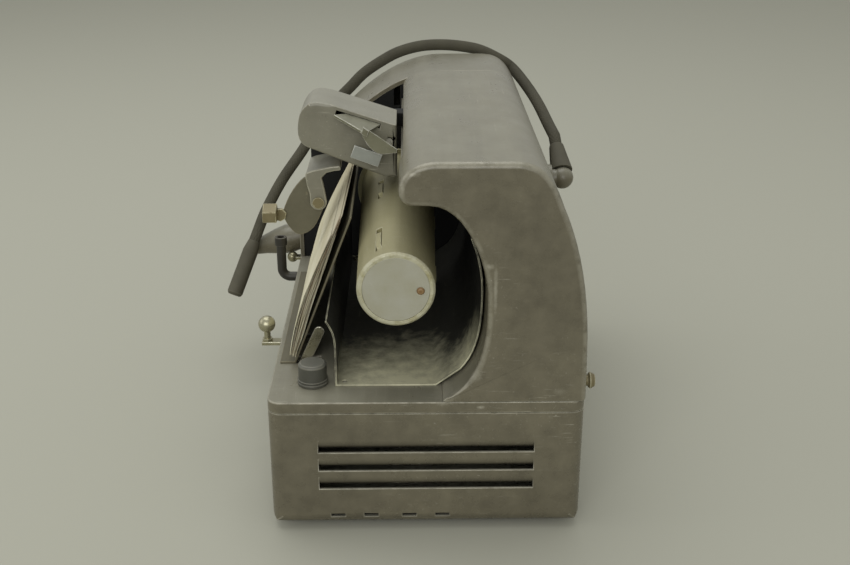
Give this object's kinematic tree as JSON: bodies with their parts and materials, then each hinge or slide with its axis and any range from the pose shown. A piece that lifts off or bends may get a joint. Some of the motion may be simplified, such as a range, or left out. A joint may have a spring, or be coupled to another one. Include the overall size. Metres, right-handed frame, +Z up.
{
  "type": "dictation machine",
  "caption": "Cylinder dictation machine: cast hood over a sheet-steel base, tapered mandrel, sliding recorder head, slip pad and flexible speaking tube",
  "frame": {"origin": "middle of the bounding box's underside, on the plane of the feet, measured without the speaking tube", "axes": "+X from the operator's side to the back, +Y from the loading end to the drive end, +Z up"},
  "size_m": [0.2459, 0.3057, 0.2296],
  "materials": {
    "housing_paint": "worn grey-brown enamel with bright edges",
    "dark_paint": "dark enamel",
    "bright_steel": "plain steel",
    "nickel": "worn nickel plate",
    "black_rubber": "black rubber",
    "bearing_brass": "plain brass",
    "drum_metal": "turned aluminium",
    "mica": "thin mica",
    "pad_paper": "aged paper slips",
    "black_moulding": "black moulded resin",
    "brown_moulding": "brown moulded resin",
    "tube_rubber": "olive rubber over a woven core"
  },
  "bodies": {
    "chassis": {"base_shell": "housing_paint", "rubber_feet": "black_rubber", "deck_casting": "housing_paint", "base_screws": "bright_steel", "hood_cover": "housing_paint", "end_housing": "housing_paint", "bearing_plate": "dark_paint", "near_plate": "dark_paint", "chip_tray": "dark_paint", "tray_screws": "bright_steel", "slip_board": "dark_paint", "slip_pad": "pad_paper", "mandrel_bushes": "bearing_brass", "idler_stud": "bright_steel", "feed_bushes": "bearing_brass", "guide_rod": "bright_steel", "drive_belt": "black_rubber", "motor_case": "dark_paint", "motor_bells": "bright_steel", "motor_cradle": "bright_steel", "speed_switch": "black_moulding", "lever_studs": "bright_steel", "bent_hook": "dark_paint", "tube_rest": "dark_paint", "tube_elbow": "dark_paint", "tube_boot": "black_rubber", "speaking_tube": "tube_rubber", "tube_sleeve": "black_rubber", "power_inlet": "black_moulding"},
    "mandrel": {"mandrel_drum": "drum_metal", "mandrel_cap": "drum_metal", "mandrel_pin": "brown_moulding", "rib_springs": "bright_steel", "mandrel_shaft": "bright_steel", "mandrel_gear": "bearing_brass", "mandrel_pulley": "dark_paint"},
    "idler": {"idler_gear": "bearing_brass"},
    "feed": {"feed_screw": "bright_steel", "feed_gear": "bearing_brass"},
    "rotor": {"motor_shaft": "bright_steel", "motor_pulley": "bright_steel", "governor": "bearing_brass"},
    "carriage": {"carriage_frame": "housing_paint", "hinge_pin": "bright_steel", "front_bracket": "housing_paint", "marker_screw": "bright_steel"},
    "half_nut": {"half_nut": "bearing_brass"},
    "head": {"head_cover": "housing_paint", "sound_box": "drum_metal", "diaphragm": "mica", "stylus_arm": "bright_steel"},
    "shift_key": {"shift_key": "nickel"},
    "voice_tab": {"voice_tab": "nickel"},
    "marker": {"marker_plate": "housing_paint", "marker_key": "nickel"},
    "deck_knob": {"deck_knob": "black_moulding"},
    "release_lever": {"release_lever": "nickel"},
    "near_ball_lever": {"near_ball_lever": "nickel"},
    "far_ball_lever": {"far_ball_lever": "nickel"},
    "thumb_screw": {"thumb_screw": "brown_moulding"}
  },
  "joints": [
    {"name": "mandrel_spin", "type": "hinge", "parent": "chassis", "child": "mandrel", "pos_m": [-0.00395, -0.0575, 0.1505], "axis": [0, 1, 0], "continuous": true},
    {"name": "idler_spin", "type": "hinge", "parent": "chassis", "child": "idler", "pos_m": [0.02616, 0.0975, 0.17286], "axis": [0, 1, 0], "continuous": true},
    {"name": "feed_spin", "type": "hinge", "parent": "chassis", "child": "feed", "pos_m": [0.05626, 0.0975, 0.19522], "axis": [0, 1, 0], "continuous": true},
    {"name": "motor_spin", "type": "hinge", "parent": "chassis", "child": "rotor", "pos_m": [0.03225, 0.0225, 0.038], "axis": [0, 1, 0], "continuous": true},
    {"name": "carriage_slide", "type": "slide", "parent": "chassis", "child": "carriage", "axis": [0, 1, 0], "range_m": [-0.098, 0.06]},
    {"name": "half_nut_lift", "type": "hinge", "parent": "carriage", "child": "half_nut", "pos_m": [0.02225, -0.0335, 0.2085], "axis": [0, 1, 0], "range_deg": [-5.6, 0]},
    {"name": "head_lift", "type": "hinge", "parent": "carriage", "child": "head", "pos_m": [-0.00825, -0.0225, 0.2035], "axis": [0, 1, 0], "range_deg": [0, 14]},
    {"name": "shift_press", "type": "slide", "parent": "head", "child": "shift_key", "axis": [0, 1, 0], "range_m": [0, 0.004], "stiffness_N_per_m": 150, "springref_m": -0.002},
    {"name": "voice_press", "type": "slide", "parent": "head", "child": "voice_tab", "axis": [0, 1, 0], "range_m": [0, 0.003], "stiffness_N_per_m": 150, "springref_m": -0.002},
    {"name": "marker_swing", "type": "hinge", "parent": "carriage", "child": "marker", "pos_m": [-0.05265, -0.0315, 0.1632], "axis": [0, -1, 0], "range_deg": [0, 14], "stiffness_Nm_per_rad": 0.05, "springref_deg": -14.32},
    {"name": "knob_turn", "type": "hinge", "parent": "chassis", "child": "deck_knob", "pos_m": [-0.05235, -0.123, 0.0905], "axis": [0, 0, 1], "range_deg": [0, 120]},
    {"name": "release_tilt", "type": "hinge", "parent": "chassis", "child": "release_lever", "pos_m": [-0.06225, -0.0915, 0.076], "axis": [0, 1, 0], "range_deg": [0, 10]},
    {"name": "near_lever_swing", "type": "hinge", "parent": "chassis", "child": "near_ball_lever", "pos_m": [-0.05975, -0.0575, 0.0785], "axis": [0, 0, 1], "range_deg": [-14, 14]},
    {"name": "far_lever_swing", "type": "hinge", "parent": "chassis", "child": "far_ball_lever", "pos_m": [-0.06175, 0.0925, 0.0785], "axis": [0, 0, 1], "range_deg": [0, 14]},
    {"name": "thumb_turn", "type": "hinge", "parent": "chassis", "child": "thumb_screw", "pos_m": [0.10125, -0.1355, 0.09], "axis": [1, 0, 0], "range_deg": [0, 360]}
  ],
  "couplings": [
    {"joint": "idler_spin", "follows": "mandrel_spin", "ratio": -0.92308},
    {"joint": "feed_spin", "follows": "mandrel_spin", "ratio": 1},
    {"joint": "motor_spin", "follows": "mandrel_spin", "ratio": 3.5714},
    {"joint": "half_nut_lift", "follows": "head_lift", "ratio": -0.4}
  ]
}
